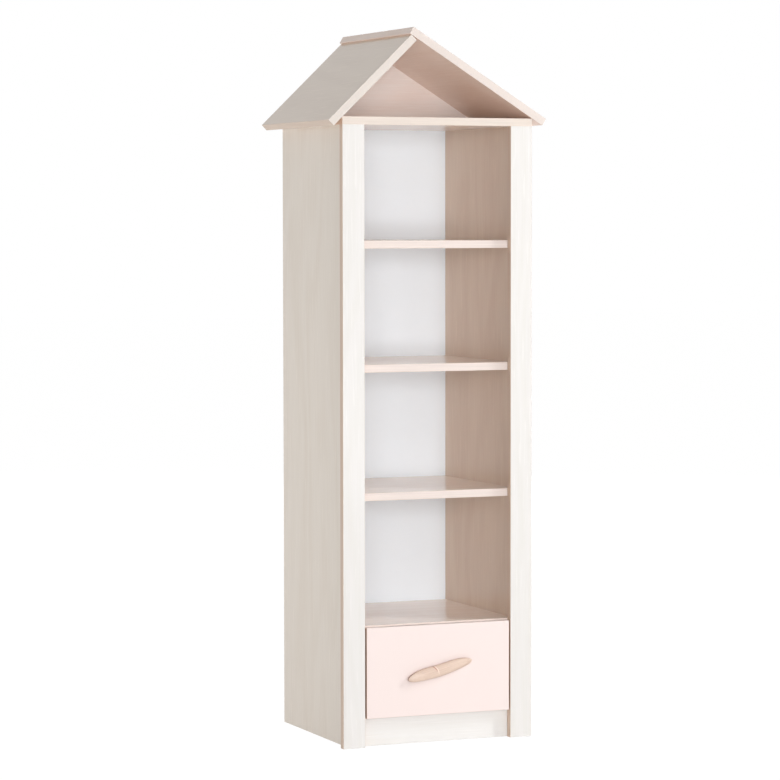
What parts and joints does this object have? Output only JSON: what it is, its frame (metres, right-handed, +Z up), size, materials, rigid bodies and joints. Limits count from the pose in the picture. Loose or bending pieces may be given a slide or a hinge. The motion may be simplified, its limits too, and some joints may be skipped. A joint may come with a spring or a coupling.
{
  "type": "house shaped bookcase",
  "caption": "Tall narrow child's bookcase with open compartments, a drawer on roller runners and an off-centre gable roof.",
  "frame": {"origin": "on the floor under the centre of the whole object's bounding box", "axes": "+Z up, +X to the right as seen from the front, +Y to the back; the drawer opens along -Y"},
  "size_m": [0.5434, 0.445, 1.6503],
  "materials": {
    "whitewashed_melamine": "satin whitewashed wood grain",
    "white_melamine": "satin, nearly white wood grain",
    "white_hardboard": "smooth white lacquer on hardboard",
    "pink_front": "satin pale pink lacquer",
    "handle_wood": "oiled pale wood",
    "beech_dowel": "raw beech",
    "runner_steel": "cream epoxy coat",
    "zinc_steel": "zinc plated",
    "nylon": "white nylon"
  },
  "bodies": {
    "cabinet": {"side_panel_left": "whitewashed_melamine", "side_panel_right": "whitewashed_melamine", "front_stile_left": "white_melamine", "front_stile_right": "white_melamine", "top_board": "whitewashed_melamine", "shelf_upper": "whitewashed_melamine", "shelf_middle": "whitewashed_melamine", "shelf_lower": "whitewashed_melamine", "drawer_top_board": "whitewashed_melamine", "bottom_board": "whitewashed_melamine", "plinth_front": "white_melamine", "plinth_rear": "whitewashed_melamine", "back_panel": "white_hardboard", "roof_panel_left": "whitewashed_melamine", "roof_panel_right": "whitewashed_melamine", "gable_board": "whitewashed_melamine", "runner_packer_left": "whitewashed_melamine", "runner_packer_right": "whitewashed_melamine", "packer_screws": "zinc_steel", "cabinet_runner_left": "runner_steel", "cabinet_runner_right": "runner_steel", "cabinet_runner_screws": "zinc_steel", "front_roller_pins": "zinc_steel", "cam_fittings": "zinc_steel", "cam_bolts": "zinc_steel", "stile_dowels": "beech_dowel", "plinth_dowels": "beech_dowel", "roof_dowels": "beech_dowel", "top_board_screws": "zinc_steel", "roof_brackets": "zinc_steel", "roof_bracket_screws": "zinc_steel", "wall_brackets": "zinc_steel", "wall_bracket_screws": "zinc_steel"},
    "drawer": {"rear_roller_pins": "zinc_steel", "drawer_runner_left": "runner_steel", "drawer_runner_right": "runner_steel", "drawer_runner_screws": "zinc_steel", "drawer_front": "pink_front", "drawer_side_left": "whitewashed_melamine", "drawer_side_right": "whitewashed_melamine", "drawer_back": "whitewashed_melamine", "drawer_bottom": "white_hardboard", "drawer_dowels": "beech_dowel", "handle": "handle_wood", "handle_posts": "handle_wood", "handle_screws": "zinc_steel"},
    "front_roller_left": {"front_roller_left": "nylon"},
    "front_roller_right": {"front_roller_right": "nylon"},
    "rear_roller_left": {"rear_roller_left": "nylon"},
    "rear_roller_right": {"rear_roller_right": "nylon"}
  },
  "joints": [
    {"name": "drawer_slide", "type": "slide", "parent": "cabinet", "child": "drawer", "axis": [0, -1, 0], "range_m": [0, 0.265]},
    {"name": "front_roller_left_spin", "type": "hinge", "parent": "cabinet", "child": "front_roller_left", "pos_m": [-0.1785, -0.1705, 0.1135], "axis": [1, 0, 0], "range_deg": [0, 1322]},
    {"name": "front_roller_right_spin", "type": "hinge", "parent": "cabinet", "child": "front_roller_right", "pos_m": [0.1785, -0.1705, 0.1135], "axis": [1, 0, 0], "range_deg": [0, 1322]},
    {"name": "rear_roller_left_spin", "type": "hinge", "parent": "drawer", "child": "rear_roller_left", "pos_m": [-0.1785, 0.1523, 0.111], "axis": [1, 0, 0], "range_deg": [0, 1322]},
    {"name": "rear_roller_right_spin", "type": "hinge", "parent": "drawer", "child": "rear_roller_right", "pos_m": [0.1785, 0.1523, 0.111], "axis": [1, 0, 0], "range_deg": [0, 1322]}
  ],
  "couplings": [
    {"joint": "front_roller_left_spin", "follows": "drawer_slide", "rad_per_m": 86.957},
    {"joint": "front_roller_right_spin", "follows": "drawer_slide", "rad_per_m": 86.957},
    {"joint": "rear_roller_left_spin", "follows": "drawer_slide", "rad_per_m": 86.957},
    {"joint": "rear_roller_right_spin", "follows": "drawer_slide", "rad_per_m": 86.957}
  ]
}
